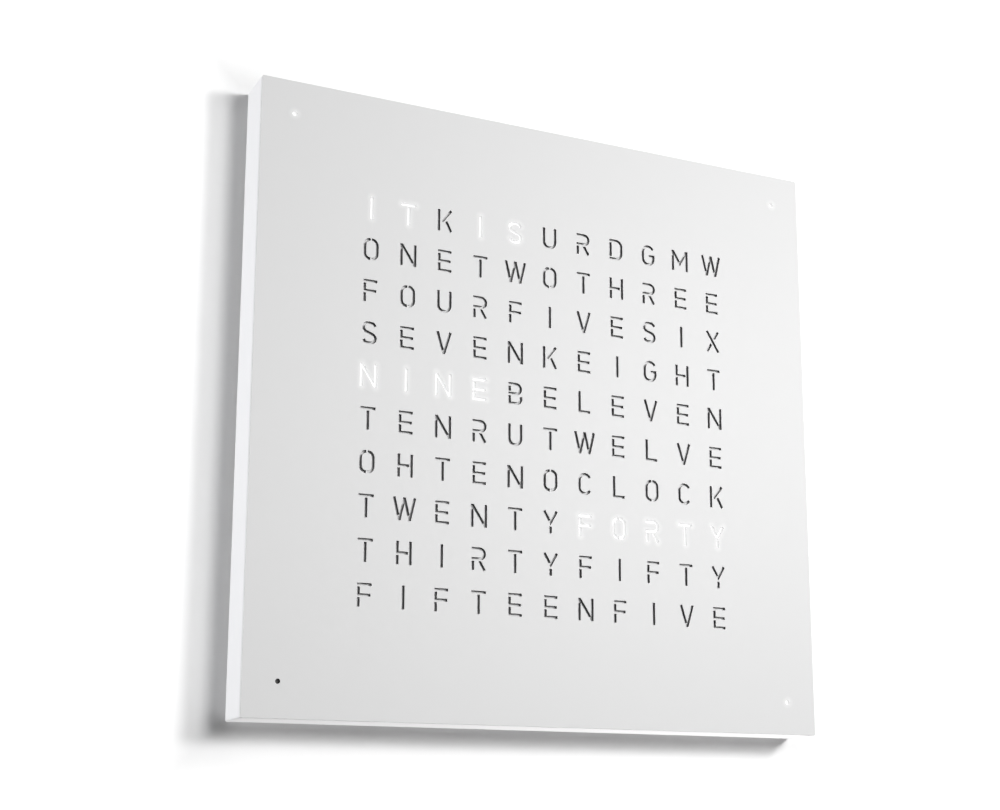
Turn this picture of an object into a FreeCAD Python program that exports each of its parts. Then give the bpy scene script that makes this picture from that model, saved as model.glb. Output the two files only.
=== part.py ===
import FreeCAD, Part
import math
import os

V = FreeCAD.Vector

# A square word clock that hangs flat on a wall. A steel face plate is held by magnets on a
# moulded housing. Behind it stand an opal sheet, a moulded light grid with one cell for
# each letter, the LED board, and a control board that is worked from the back.
# The origin is on the wall, behind the middle of the clock. +X is to the right of someone
# who reads it, +Z is up, and the face looks along -Y. Millimetres.

# ---- Driving dimensions ----
face_size = 450.0            # width and height of the square face
housing_depth = 31.5         # from the rim that the plate sits on to the rear edge
wall_gap = 3.0               # the bumpers hold the housing this far off the wall
corner_radius = 1.2          # upright corners of the plate and the housing
fit_gap = 0.3                # room between pieces that seat in one another
open_past = 1.0              # a cut runs this far past the face that it opens

plate_thickness = 2.5
stud_radius = 2.5            # locating studs behind the plate
stud_length = 8.0

rim_width = 18.5             # front rim of the housing
rim_thickness = 3.5
side_wall = 3.0
collar_wall = 2.0            # inner wall that centres the light grid
collar_ledge = 3.0           # the rim overhangs the collar by this much
rib_thickness = 1.6
ribs_per_side = 4
rib_span = 330.0

magnet_length = 15.0         # along the side
magnet_width = 6.0
magnet_thickness = 3.0
magnet_sink = 0.2            # the magnets lie this far under the rim's face
magnets_per_side = 2
magnet_span = 220.0
cup_wall = 1.6               # around and behind each magnet

columns = 11
rows = 10
column_pitch = 28.3
row_pitch = 31.0
dot_inset = 24.6             # minute dots, in from both edges of the face
dot_radius = 1.7

diffuser_thickness = 1.0
grid_depth = 12.0
grid_floor = 1.6             # web between the letter field and the grid's outer wall
cell_wall = 1.4              # at the front, where the walls are thinnest
cell_draft = 4.0             # degrees on each wall of a cell
grid_flange = 2.0
frame_wall = 2.0             # outer wall of the light grid
spoke_thickness = 1.6
spoke_depth = 8.0
spoke_every = 5              # cell walls from one spoke to the next

board_thickness = 1.6
led_size = 5.0
led_height = 1.4
sensor_width = 1.0
sensor_length = 2.0
sensor_height = 0.8

panel_thickness = 3.0
pillar_size = 8.0            # across the cross-shaped pillars that clamp the LED board
pillar_wall = 2.0
pillar_inset = 75.0          # outer pillars and ribs, in from the face's edges
panel_rib_depth = 6.0
panel_rib_thickness = 2.0
screw_radius = 1.5
screw_head_radius = 3.2
screw_head_height = 1.8
screw_length = 14.0

control_width = 120.0
control_height = 70.0
board_margin = 20.0          # from the panel's lower rib to the control board
control_standoff = 8.8       # the panel's inner face to the control board
post_size = 6.0
clip_x = 38.0                # snap clips at the board's upper and lower edges
clip_width = 8.0
clip_wall = 2.0
clip_nose = 1.0              # the hook reaches this far over the board
header_length = 25.0
header_width = 5.0
header_drop = 8.0            # below the board's upper edge
cell_inset = 18.0            # backup cell, in from the board's right edge
cell_drop = 20.0             # and below its upper edge

jack_inset = 15.0            # supply socket, in from the board's right edge
jack_width = 9.0
jack_height = 8.5
jack_length = 14.0
jack_spigot = 7.5            # square end that passes through the pocket's wall
jack_bore_radius = 2.75
jack_bore_depth = 9.0
jack_pin_radius = 1.0
jack_pin_length = 8.0
pocket_width = 16.0          # pocket in the panel that takes the plug
pocket_length = 45.0
pocket_depth = 13.0
pocket_wall = 1.4

button_count = 3
button_pitch = 20.0
button_x = -20.0             # middle of the row of buttons
button_rise = 22.0           # above the board's lower edge
button_size = 8.0            # square cap
button_overlap = 1.0         # the flange reaches this far behind the panel on each side
button_flange = 1.2
button_proud = 1.2           # stands this far out of the panel
button_travel = 1.0
stem_size = 4.0
switch_size = 6.2
switch_height = 4.3
plunger_size = 3.0
plunger_well = 2.2
press_spare = 0.2            # left under the stem when the button is pressed home

chips = [                    # place from the board's middle, right and up; width and height
    (-30.0, 17.0, 12.0, 12.0),
    (-50.0, 15.0, 5.0, 6.2),
    (-8.0, 19.0, 8.0, 11.0),
    (-8.0, 3.0, 8.0, 11.0),
]
chip_height = 1.6
capacitor_places = [(14.0, 17.0), (24.0, -17.0)]
capacitor_radius = 4.0
capacitor_height = 7.5
cell_radius = 10.0           # backup coin cell
cell_height = 3.2
holder_wall = 1.5
holder_floor = 0.8

hanger_margin = 6.7          # from the panel's upper rib to the stop under a hanger plate
hanger_side_margin = 13.7    # from the panel's outer rib to the rail beside a hanger plate
hanger_width = 46.0
hanger_height = 36.0
hanger_thickness = 1.5
rail_wall = 2.0              # moulded rails that hold the hanger plates
rail_lip = 3.0
keyhole_radius = 5.0
keyhole_slot = 5.0           # width of the slot
keyhole_rise = 9.0           # from the round hole's middle to the slot's end
window_margin = 2.5          # window in the panel, around the keyhole

bumper_size = 12.0
bumper_inset = 30.0

# ---- Places worked out from them ----
half = face_size / 2
back_y = -wall_gap
rim_y = back_y - housing_depth
face_y = rim_y - plate_thickness
rim_rear_y = rim_y + rim_thickness
opening_half = half - rim_width

collar_half = opening_half + collar_ledge
collar_outer = collar_half + collar_wall
diffuser_rear_y = rim_y + diffuser_thickness
grid_front_y = diffuser_rear_y + fit_gap
grid_rear_y = grid_front_y + grid_depth
grid_half = opening_half - fit_gap
board_half = collar_half - fit_gap
board_rear_y = grid_rear_y + board_thickness

inner_half = half - side_wall
corner_inset = half - (collar_outer + inner_half) / 2
magnet_inset = rim_width / 2
panel_half = inner_half - fit_gap
panel_y = back_y - panel_thickness
pillar_place = half - pillar_inset
hanger_low_z = pillar_place + panel_rib_thickness / 2 + hanger_margin + rail_wall + fit_gap
hanger_z = hanger_low_z + hanger_height / 2
hanger_out_x = pillar_place - panel_rib_thickness / 2 - hanger_side_margin - rail_wall - fit_gap
hanger_x = hanger_out_x - hanger_width / 2

control_rear_y = panel_y - control_standoff
control_front_y = control_rear_y - board_thickness
control_low_z = board_margin - pillar_place
control_high_z = control_low_z + control_height
control_z = (control_low_z + control_high_z) / 2
header_z = control_high_z - header_drop
button_z = control_low_z + button_rise
jack_x = control_width / 2 - jack_inset
jack_axis_y = control_rear_y + jack_height / 2
cell_x = control_width / 2 - cell_inset
cell_z = control_high_z - cell_drop
pocket_top_z = control_low_z - pocket_wall
pocket_bottom_z = pocket_top_z - pocket_length
pocket_floor_y = back_y - pocket_depth

hole_radius = screw_radius + fit_gap
plunger_height = button_travel + press_spare
button_hole = button_size + 2 * fit_gap


# ---- Helpers ----
def block(x_low, x_high, y_low, y_high, z_low, z_high):
    """A box between two corners."""
    return Part.makeBox(x_high - x_low, y_high - y_low, z_high - z_low, V(x_low, y_low, z_low))


def post(x, z, width, height, y_low, y_high):
    """A box that runs from front to rear around the line through (x, z)."""
    return block(x - width / 2, x + width / 2, y_low, y_high, z - height / 2, z + height / 2)


def slab(half_width, y_low, y_high):
    """A square slab across the clock's axis."""
    return post(0, 0, 2 * half_width, 2 * half_width, y_low, y_high)


def rounded_slab(half_width, y_low, y_high):
    """A square slab with its four corner edges rounded."""
    body = slab(half_width, y_low, y_high)
    edges = [edge for edge in body.Edges if abs(edge.tangentAt(0).y) > 0.99]
    return body.makeFillet(corner_radius, edges)


def square_ring(inner, outer, y_low, y_high):
    """A square wall of even thickness around the clock's axis."""
    return slab(outer, y_low, y_high).cut(slab(inner, y_low, y_high))


def rod(x, z, y_low, y_high, radius):
    """A round bar along Y."""
    return Part.makeCylinder(radius, y_high - y_low, V(x, y_low, z), V(0, 1, 0))


def turned(profile, x, z):
    """A solid of revolution about a line along Y; the profile is a list of (radius, y)."""
    points = [V(x + radius, y, z) for radius, y in profile]
    outline = Part.makePolygon(points + points[:1])
    return Part.Face(outline).revolve(V(x, 0, z), V(0, 1, 0), 360)


def drawn(points, along):
    """A straight moulding: a flat outline swept along a vector."""
    return Part.Face(Part.makePolygon(points + points[:1])).extrude(along)


def spread(count, span):
    """Even places over a span, centred on zero."""
    if count == 1:
        return [0.0]
    return [span * (i / (count - 1) - 0.5) for i in range(count)]


def corners(inset):
    """The four corners of the face, moved in by the same distance both ways."""
    out = half - inset
    return [(x, z) for x in (-out, out) for z in (-out, out)]


def on_four_sides(shape):
    """The shape and its three copies, each turned a further quarter about the clock's axis."""
    copies = []
    for quarter in range(4):
        copy = shape.copy()
        copy.rotate(V(0, 0, 0), V(0, 1, 0), 90 * quarter)
        copies.append(copy)
    return copies


def joined(first, others):
    """The shapes fused into one solid, without seams on flat faces."""
    return first.fuse(others).removeSplitter()


def tapered_well(x, z, width, height, y_front, y_rear):
    """A cell's space, narrower at the rear by the draft on its four walls."""
    shrink = 2 * (y_rear - y_front) * math.tan(math.radians(cell_draft))
    ends = []
    for y, less in ((y_front, 0.0), (y_rear, shrink)):
        w = (width - less) / 2
        h = (height - less) / 2
        ends.append(Part.makePolygon([
            V(x - w, y, z - h), V(x + w, y, z - h), V(x + w, y, z + h),
            V(x - w, y, z + h), V(x - w, y, z - h)]))
    return Part.makeLoft(ends, True, True)


def letter_cells():
    """The middle of every letter's cell."""
    across = spread(columns, (columns - 1) * column_pitch)
    upward = spread(rows, (rows - 1) * row_pitch)
    return [(x, z) for z in upward for x in across]


def dot_cells():
    """The middle of each minute dot."""
    return corners(dot_inset)


# ---- The face that lifts off ----
def front_plate():
    """Steel sheet, square to the housing, with a drilled hole for each minute dot."""
    holes = [rod(x, z, face_y - open_past, rim_y + open_past, dot_radius)
             for x, z in dot_cells()]
    return rounded_slab(half, face_y, rim_y).cut(holes)


def upper_corners():
    """The two upper corners, where the plate is located and carried."""
    return [(x, z) for x, z in corners(corner_inset) if z > 0]


def plate_studs():
    """Welded studs that find the housing's sockets and carry the plate's weight."""
    return [rod(x, z, rim_y, rim_y + stud_length, stud_radius) for x, z in upper_corners()]


def diffuser_sheet():
    """Opal sheet bonded behind the plate, inside the housing's rim."""
    return slab(opening_half - fit_gap, rim_y, diffuser_rear_y)


# ---- Housing ----
def magnet_blocks(y_low, y_high, gap):
    """A block around every magnet, larger than it by the same gap on its four sides."""
    blocks = []
    for along in spread(magnets_per_side, magnet_span):
        blocks += on_four_sides(post(along, half - magnet_inset, magnet_length + 2 * gap,
                                     magnet_width + 2 * gap, y_low, y_high))
    return blocks


def housing():
    """Moulded frame: side walls, front rim, collar, ribs, magnet cups and corner bosses."""
    body = rounded_slab(half, rim_y, back_y)
    body = body.cut([slab(inner_half, rim_rear_y, back_y + open_past),
                     slab(opening_half, rim_y - open_past, rim_rear_y)])
    magnet_rear_y = rim_y + magnet_sink + magnet_thickness
    additions = [square_ring(collar_half, collar_outer, rim_rear_y, board_rear_y)]
    additions += magnet_blocks(rim_y, magnet_rear_y + cup_wall, fit_gap + cup_wall)
    for along in spread(ribs_per_side, rib_span):
        rib = block(along - rib_thickness / 2, along + rib_thickness / 2, rim_rear_y, panel_y,
                    collar_outer, inner_half)
        additions += on_four_sides(rib)
    boss_size = inner_half - collar_half
    for x, z in corners(half - inner_half + boss_size / 2):
        additions.append(post(x, z, boss_size, boss_size, rim_rear_y, panel_y))
    body = joined(body, additions)
    cuts = magnet_blocks(rim_y - open_past, magnet_rear_y, fit_gap)
    for x, z in upper_corners():
        cuts.append(rod(x, z, rim_y - open_past, rim_y + stud_length + fit_gap,
                        stud_radius + fit_gap))
    for x, z in corners(corner_inset):
        cuts.append(rod(x, z, back_y - screw_length - fit_gap, panel_y + open_past, hole_radius))
    return body.cut(cuts)


def rim_magnets():
    """Block magnets glued into the cups in the rim."""
    front = rim_y + magnet_sink
    return magnet_blocks(front, front + magnet_thickness, 0)


# ---- Lighting ----
def light_grid():
    """Moulded grid: drafted cells open at both ends, a web around them, spokes, dot cells."""
    field_x = columns * column_pitch / 2 + cell_wall / 2
    field_z = rows * row_pitch / 2 + cell_wall / 2
    inner = grid_half - frame_wall
    spoke_y = grid_rear_y - spoke_depth
    body = slab(grid_half, grid_rear_y - grid_floor, grid_rear_y)
    additions = [block(-field_x, field_x, grid_front_y, grid_rear_y, -field_z, field_z),
                 square_ring(inner, grid_half, grid_front_y, grid_rear_y),
                 square_ring(inner, board_half, rim_rear_y, rim_rear_y + grid_flange)]
    for x in spread(columns + 1, columns * column_pitch)[::spoke_every]:
        for low, high in ((-inner, -field_z), (field_z, inner)):
            additions.append(block(x - spoke_thickness / 2, x + spoke_thickness / 2,
                                   spoke_y, grid_rear_y, low, high))
    for z in spread(rows + 1, rows * row_pitch)[::spoke_every]:
        for low, high in ((-inner, -field_x), (field_x, inner)):
            additions.append(block(low, high, spoke_y, grid_rear_y,
                                   z - spoke_thickness / 2, z + spoke_thickness / 2))
    dot_well = 2 * (inner - (half - dot_inset))
    outer_cell = dot_well + 2 * frame_wall
    additions += [post(x, z, outer_cell, outer_cell, grid_front_y, grid_rear_y)
                  for x, z in dot_cells()]
    body = joined(body, additions)
    wells = [tapered_well(x, z, column_pitch - cell_wall, row_pitch - cell_wall,
                          grid_front_y, grid_rear_y) for x, z in letter_cells()]
    wells += [tapered_well(x, z, dot_well, dot_well, grid_front_y, grid_rear_y)
              for x, z in dot_cells()]
    return body.cut(wells)


def led_board():
    """Circuit board that carries one LED behind each cell."""
    return slab(board_half, grid_rear_y, board_rear_y)


def leds():
    """One square LED in the middle of each cell."""
    return [post(x, z, led_size, led_size, grid_rear_y - led_height, grid_rear_y)
            for x, z in letter_cells() + dot_cells()]


def light_sensor():
    """Small sensor beside the lower left letter's LED; it sees the room through the letter."""
    x, z = letter_cells()[0]
    return post(x + led_size, z, sensor_width, sensor_length, grid_rear_y - sensor_height,
                grid_rear_y)


# ---- Back ----
def button_places():
    """The middle of each push button."""
    span = (button_count - 1) * button_pitch
    return [(button_x + x, button_z) for x in spread(button_count, span)]


def hanger_places():
    """The middle of each hanger plate's round keyhole."""
    return [(x, hanger_z - keyhole_rise / 2) for x in (-hanger_x, hanger_x)]


def countersunk(front_y, gap):
    """Half the outline of a countersunk screw, or of the seat that clears it by a gap."""
    shank = screw_radius + gap
    return [(0, front_y), (shank, front_y), (shank, back_y - screw_head_height),
            (screw_head_radius + gap, back_y), (0, back_y)]


def pillar(x, z):
    """A cross-shaped pillar from the panel to the LED board."""
    upright = post(x, z, pillar_wall, pillar_size, board_rear_y, panel_y)
    return upright.fuse(post(x, z, pillar_size, pillar_wall, board_rear_y, panel_y))


def board_clip(x, edge_z, outward):
    """A snap clip: an upright just outside the board's edge, with a sloped hook over it."""
    foot = edge_z + outward * fit_gap
    top_y = control_front_y - fit_gap
    outline = [V(x, panel_y, foot), V(x, top_y, foot),
               V(x, top_y, foot - outward * (fit_gap + clip_nose)),
               V(x, top_y - clip_wall, foot + outward * clip_wall / 2),
               V(x, top_y - clip_wall, foot + outward * clip_wall),
               V(x, panel_y, foot + outward * clip_wall)]
    clip = drawn(outline, V(clip_width, 0, 0))
    clip.translate(V(-clip_width / 2, 0, 0))
    return clip


def hanger_rail(x, outward):
    """A rail with a lip that holds one side of a hanger plate against the panel."""
    edge = x + outward * (hanger_width / 2 + fit_gap)
    lip_y = panel_y - hanger_thickness - fit_gap
    lip_x = edge - outward * rail_lip
    outer_x = edge + outward * rail_wall
    outline = [V(edge, panel_y, hanger_low_z), V(edge, lip_y, hanger_low_z),
               V(lip_x, lip_y, hanger_low_z), V(lip_x, lip_y - rail_wall, hanger_low_z),
               V(outer_x, lip_y - rail_wall, hanger_low_z), V(outer_x, panel_y, hanger_low_z)]
    return drawn(outline, V(0, 0, hanger_height))


def hanger_stop(x, upward):
    """A bar at the top or the bottom end of a hanger plate, between its rails."""
    z = hanger_z + upward * (hanger_height / 2 + fit_gap + rail_wall / 2)
    width = hanger_width + 2 * (fit_gap + rail_wall)
    return post(x, z, width, rail_wall, panel_y - hanger_thickness, panel_y)


def back_panel():
    """Moulded rear cover: pillars and ribs, board posts and clips, rails, the plug's pocket."""
    panel = rounded_slab(panel_half, panel_y, back_y)
    reach = collar_half - collar_wall
    additions = on_four_sides(block(-reach, reach, panel_y - panel_rib_depth, panel_y,
                                    pillar_place - panel_rib_thickness / 2,
                                    pillar_place + panel_rib_thickness / 2))
    places = (-pillar_place, 0.0, pillar_place)
    additions += [pillar(x, z) for x in places for z in places]
    for edge_x in (-1, 1):
        x = edge_x * (control_width - post_size) / 2
        for edge_z in (-1, 1):
            z = control_z + edge_z * (control_height - post_size) / 2
            additions.append(post(x, z, post_size, post_size, control_rear_y, panel_y))
    for x in (-clip_x, 0.0, clip_x):
        additions.append(board_clip(x, control_high_z, 1))
    for x in (-clip_x, 0.0):
        additions.append(board_clip(x, control_low_z, -1))
    for x, z in hanger_places():
        additions += [hanger_rail(x, side) for side in (-1, 1)]
        additions += [hanger_stop(x, side) for side in (-1, 1)]
    pocket_z = (pocket_top_z + pocket_bottom_z) / 2
    additions.append(post(jack_x, pocket_z, pocket_width + 2 * pocket_wall,
                          pocket_length + 2 * pocket_wall, pocket_floor_y - pocket_wall, back_y))
    panel = joined(panel, additions)
    cuts = [post(jack_x, pocket_z, pocket_width, pocket_length, pocket_floor_y,
                 back_y + open_past)]
    spigot_hole = jack_spigot / 2 + fit_gap
    cuts.append(block(jack_x - spigot_hole, jack_x + spigot_hole,
                      jack_axis_y - spigot_hole, jack_axis_y + spigot_hole,
                      pocket_top_z - open_past, control_low_z + open_past))
    cuts += [post(x, z, button_hole, button_hole, panel_y - open_past, back_y + open_past)
             for x, z in button_places()]
    cuts += [turned(countersunk(panel_y - open_past, fit_gap), x, z)
             for x, z in corners(corner_inset)]
    side = keyhole_radius + window_margin
    for x, z in hanger_places():
        top = z + keyhole_rise + keyhole_slot / 2 + window_margin
        cuts.append(block(x - side, x + side, panel_y - open_past, back_y + open_past,
                          z - side, top))
    return panel.cut(cuts)


def panel_screws():
    """Countersunk screws that hold the panel to the housing's corner bosses."""
    return [turned(countersunk(back_y - screw_length, 0), x, z)
            for x, z in corners(corner_inset)]


def hanger_plate(index):
    """Stamped plate with a keyhole, held in its rails against the inside of the panel."""
    x, z = hanger_places()[index]
    low = panel_y - hanger_thickness - open_past
    high = panel_y + open_past
    plate = post(x, hanger_z, hanger_width, hanger_height, panel_y - hanger_thickness, panel_y)
    return plate.cut([rod(x, z, low, high, keyhole_radius),
                      rod(x, z + keyhole_rise, low, high, keyhole_slot / 2),
                      post(x, z + keyhole_rise / 2, keyhole_slot, keyhole_rise, low, high)])


def wall_bumpers():
    """Soft feet that keep the back off the wall."""
    return [post(x, z, bumper_size, bumper_size, back_y, 0) for x, z in corners(bumper_inset)]


# ---- Control board ----
def control_board():
    """Circuit board on the panel's posts, under its clips."""
    return post(0, control_z, control_width, control_height, control_front_y, control_rear_y)


def board_header():
    """Pin header between the control board and the LED board."""
    return post(0, header_z, header_length, header_width, board_rear_y, control_front_y)


def controller_chips():
    """The processor, the clock chip and two LED drivers."""
    return [post(x, control_z + z, width, height, control_rear_y, control_rear_y + chip_height)
            for x, z, width, height in chips]


def capacitors():
    """Round capacitors beside the supply."""
    return [rod(x, control_z + z, control_rear_y, control_rear_y + capacitor_height,
                capacitor_radius)
            for x, z in capacitor_places]


def dc_jack():
    """Barrel socket that opens downwards into the plug's pocket."""
    width = jack_width / 2
    spigot = jack_spigot / 2
    body = block(jack_x - width, jack_x + width, control_rear_y, control_rear_y + jack_height,
                 control_low_z, control_low_z + jack_length)
    body = body.fuse(block(jack_x - spigot, jack_x + spigot, jack_axis_y - spigot,
                           jack_axis_y + spigot, pocket_top_z, control_low_z))
    bore = Part.makeCylinder(jack_bore_radius, pocket_wall + jack_bore_depth,
                             V(jack_x, jack_axis_y, pocket_top_z))
    pin_low_z = control_low_z + jack_bore_depth - jack_pin_length
    pin = Part.makeCylinder(jack_pin_radius, jack_pin_length, V(jack_x, jack_axis_y, pin_low_z))
    return body.cut(bore).fuse(pin)


def cell_holder():
    """Square cup for the backup cell."""
    size = 2 * (cell_radius + fit_gap + holder_wall)
    top = control_rear_y + holder_floor + cell_height
    cup = post(cell_x, cell_z, size, size, control_rear_y, top)
    return cup.cut(rod(cell_x, cell_z, control_rear_y + holder_floor, top + open_past,
                       cell_radius + fit_gap))


def coin_cell():
    """Backup cell that keeps the time while the clock is unplugged."""
    low = control_rear_y + holder_floor
    return rod(cell_x, cell_z, low, low + cell_height, cell_radius)


def switch_bodies():
    """Tactile switches, each with a square well for its plunger."""
    top = control_rear_y + switch_height
    well = plunger_size + 2 * fit_gap
    return [post(x, z, switch_size, switch_size, control_rear_y, top).cut(
            post(x, z, well, well, top - plunger_well, top + open_past))
            for x, z in button_places()]


def switch_plunger(index):
    """The switch's own plunger, which moves with the button on it."""
    x, z = button_places()[index]
    top = control_rear_y + switch_height
    return post(x, z, plunger_size, plunger_size, top - plunger_well + fit_gap + button_travel,
                top + plunger_height)


def push_button(index):
    """Push button: a square cap, a flange inside the panel that keeps it in, and a stem."""
    x, z = button_places()[index]
    tip = control_rear_y + switch_height + plunger_height
    flange_top = panel_y - fit_gap
    flange_low = flange_top - button_flange
    flange_size = button_hole + 2 * button_overlap
    cap = post(x, z, button_size, button_size, flange_top, back_y + button_proud)
    flange = post(x, z, flange_size, flange_size, flange_low, flange_top)
    return cap.fuse([flange, post(x, z, stem_size, stem_size, tip, flange_low)])


# ---- Export ----
button_names = ["hour", "minute", "mode"]
nodes = {
    "front_plate": front_plate(),
    "plate_studs": plate_studs(),
    "diffuser_sheet": diffuser_sheet(),
    "housing": housing(),
    "rim_magnets": rim_magnets(),
    "light_grid": light_grid(),
    "led_board": led_board(),
    "leds": leds(),
    "light_sensor": light_sensor(),
    "back_panel": back_panel(),
    "panel_screws": panel_screws(),
    "left_hanger_plate": hanger_plate(0),
    "right_hanger_plate": hanger_plate(1),
    "wall_bumpers": wall_bumpers(),
    "control_board": control_board(),
    "board_header": board_header(),
    "controller_chips": controller_chips(),
    "capacitors": capacitors(),
    "dc_jack": dc_jack(),
    "cell_holder": cell_holder(),
    "coin_cell": coin_cell(),
    "switch_bodies": switch_bodies(),
}
for index, name in enumerate(button_names):
    nodes[name + "_button"] = push_button(index)
    nodes[name + "_plunger"] = switch_plunger(index)

os.makedirs("parts", exist_ok=True)
for name, shape in nodes.items():
    if isinstance(shape, list):
        shape = Part.makeCompound(shape)
    shape.exportStep("parts/" + name + ".step")
    print(name, len(shape.Solids), "solids", round(shape.Volume), "mm3", shape.isValid())
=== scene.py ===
import math

import bmesh
import bpy
from mathutils import Matrix, Vector


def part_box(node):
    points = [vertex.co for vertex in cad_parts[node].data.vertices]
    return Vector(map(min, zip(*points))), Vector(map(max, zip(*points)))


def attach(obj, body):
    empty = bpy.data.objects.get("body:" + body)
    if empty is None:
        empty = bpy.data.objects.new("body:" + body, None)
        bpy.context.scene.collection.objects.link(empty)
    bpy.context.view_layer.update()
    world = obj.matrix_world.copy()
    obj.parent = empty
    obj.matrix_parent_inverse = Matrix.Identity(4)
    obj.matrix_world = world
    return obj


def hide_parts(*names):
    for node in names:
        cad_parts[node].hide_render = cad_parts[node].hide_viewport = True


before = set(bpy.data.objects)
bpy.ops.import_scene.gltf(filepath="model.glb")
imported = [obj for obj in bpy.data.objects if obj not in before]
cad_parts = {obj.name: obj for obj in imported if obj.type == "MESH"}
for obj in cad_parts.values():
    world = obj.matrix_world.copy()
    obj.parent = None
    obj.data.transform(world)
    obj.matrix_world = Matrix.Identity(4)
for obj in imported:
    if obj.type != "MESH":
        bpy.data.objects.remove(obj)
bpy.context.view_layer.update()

# A square word clock on a white wall: a powder-coated steel face with cut-through letters on
# a white moulded housing. Metres, in the part's frame: the wall is the plane y = 0, +Z is up
# and the face looks along -Y. Sizes of the clock are written in millimetres, and MM makes them
# metres. The stage, the lamps and the camera are placed in metres.

MM = 0.001

# ---- The face ----
COLUMN_PITCH = 28.3
ROW_PITCH = 31.0
CAP_HEIGHT = 16.4
STROKE = 1.9                 # width of every cut
BRIDGE = 0.8                 # sheet left standing between two cuts of a letter
CUT_ROUNDING = 0.25          # softened edge of a cut
FACE_ROUNDING = 0.45         # softened outer edge of the face
ROUNDING_STEPS = 3
DOT_SIDES = 24
GLOW_REACH = 3.2             # how far the painted glow of a lit cut spreads over the face
GLOW_FRAME = 4.0             # from a lit letter to the frame of finer mesh around it
GLOW_GRAIN = 0.8             # spacing of the points that carry the painted glow
GLOW_FADE = 1.4              # how steeply the painted glow falls off within its reach

LETTER_ROWS = [
    "ITKISURDGMW", "ONETWOTHREE", "FOURFIVESIX", "SEVENKEIGHT", "NINEBELEVEN",
    "TENRUTWELVE", "OHTENOCLOCK", "TWENTYFORTY", "THIRTYFIFTY", "FIFTEENFIVE",
]
# It is nine forty, and three minutes: first and last column of each lit word, and lit dots.
LIT_WORDS = {0: [(0, 1), (3, 4)], 4: [(0, 3)], 7: [(6, 10)]}
LIT_DOTS = [(-1, 1), (1, 1), (1, -1)]

face_low, face_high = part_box("front_plate")
FACE_Y = face_low.y
REAR_Y = face_high.y
FACE_HALF = face_high.x / MM
CORNER_RADIUS = 1.2
DOT_PLACE = 200.4            # minute dots, from the middle of the face both ways
DOT_RADIUS = 1.7

# ---- Small parts: places from the middle of the clock ----
CORNERS = [(x, z) for x in (-1, 1) for z in (-1, 1)]
CORNER_PLACE = 216.75        # studs and screws, both ways
CAN_PLACES = [(14.0, -78.0), (24.0, -112.0)]
CHIPS = [                    # middle x and z, width, height, and whether leads are all round
    (-30.0, -78.0, 12.0, 12.0, True),
    (-50.0, -80.0, 5.0, 6.2, False),
    (-8.0, -76.0, 8.0, 11.0, False),
    (-8.0, -92.0, 8.0, 11.0, False),
]

# ---- Letter shapes: centre lines of the cuts, from the middle of the cell ----
TOP = CAP_HEIGHT / 2
LINE = TOP - STROKE / 2       # centre line of a cut that runs along the top of a letter
NEXT = STROKE / 2 + BRIDGE    # from a centre line to the end of the cut beside it
LEVELS = (TOP, -TOP, -NEXT)
ARC_STEP = 15.0               # degrees
ARM_END = 28                  # degrees above and below level, where the arms of C and G end
SLOPED_HALF = 0.53            # half the level width of a sloping cut, in strokes

LETTER_WIDTHS = {
    "B": 10.8, "C": 10.8, "D": 11.2, "E": 10.5, "F": 10.3, "G": 11.2, "H": 11.5, "I": STROKE,
    "K": 11.6, "L": 9.8, "M": 14.2, "N": 12.4, "O": 11.2, "R": 11.0, "S": 10.8, "T": 11.2,
    "U": 11.2, "V": 12.0, "W": 17.4, "X": 12.0, "Y": 12.0,
}


def arc(x, z, radius, start, end):
    """Points on an arc, with angles in degrees, counter-clockwise from +X."""
    steps = max(2, round(abs(end - start) / ARC_STEP))
    angles = [math.radians(start + (end - start) * i / steps) for i in range(steps + 1)]
    return [(x + radius * math.cos(a), z + radius * math.sin(a)) for a in angles]


def turned_over(line):
    """A centre line given a half turn about the letter's middle."""
    return [(-x, -z) for x, z in line]


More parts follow.
